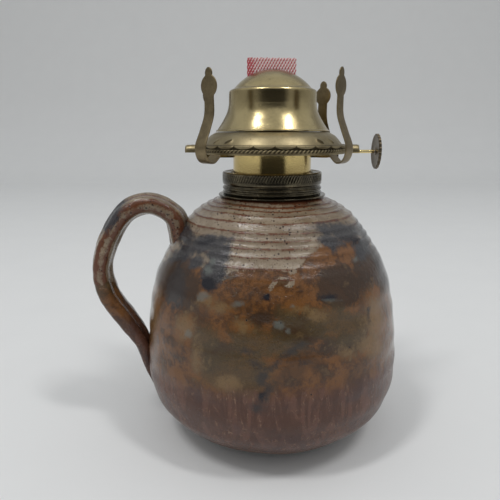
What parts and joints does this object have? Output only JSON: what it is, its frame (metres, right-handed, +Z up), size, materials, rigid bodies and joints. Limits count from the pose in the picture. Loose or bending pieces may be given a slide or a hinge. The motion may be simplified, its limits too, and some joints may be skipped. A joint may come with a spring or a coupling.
{
  "type": "oil lamp",
  "caption": "Glazed pottery oil lamp with a loop handle, a brass collar and a brass flat-wick burner with chimney prongs, without a chimney.",
  "frame": {"origin": "centre of the pot's flat foot, on the surface it stands on", "axes": "+Z up, +X along the wick wheel's rod towards its knob; the handle is at the -X side, turned 6 degrees to -Y, and the picture was taken from the -Y side"},
  "size_m": [0.1651, 0.137, 0.1932],
  "materials": {
    "glaze": "glossy runny glaze: cream, rust, olive and dark blue",
    "collar_brass": "dark tarnished",
    "base_brass": "polished",
    "gallery_brass": "satin, aged",
    "deflector_brass": "satin, aged",
    "prong_brass": "satin, aged",
    "tube_brass": "dull",
    "rod_brass": "polished",
    "knob_brass": "satin, aged",
    "cotton": "woven, red and white"
  },
  "bodies": {
    "lamp": {"pot": "glaze", "collar": "collar_brass", "burner_base": "base_brass", "gallery": "gallery_brass", "deflector": "deflector_brass", "prong_fr": "prong_brass", "prong_fl": "prong_brass", "prong_br": "prong_brass", "prong_bl": "prong_brass", "wick_tube": "tube_brass"},
    "wheel": {"wick_shaft": "rod_brass", "wick_knob": "knob_brass"},
    "tape": {"wick": "cotton"}
  },
  "joints": [
    {"name": "wheel_turn", "type": "hinge", "parent": "lamp", "child": "wheel", "pos_m": [0, 0.006, 0.1467], "axis": [1, 0, 0], "range_deg": [-54, 122]},
    {"name": "wick_rise", "type": "slide", "parent": "lamp", "child": "tape", "axis": [0, 0, 1], "range_m": [-0.009, 0.004]}
  ],
  "couplings": [
    {"joint": "wick_rise", "follows": "wheel_turn", "m_per_rad": -0.0042}
  ]
}
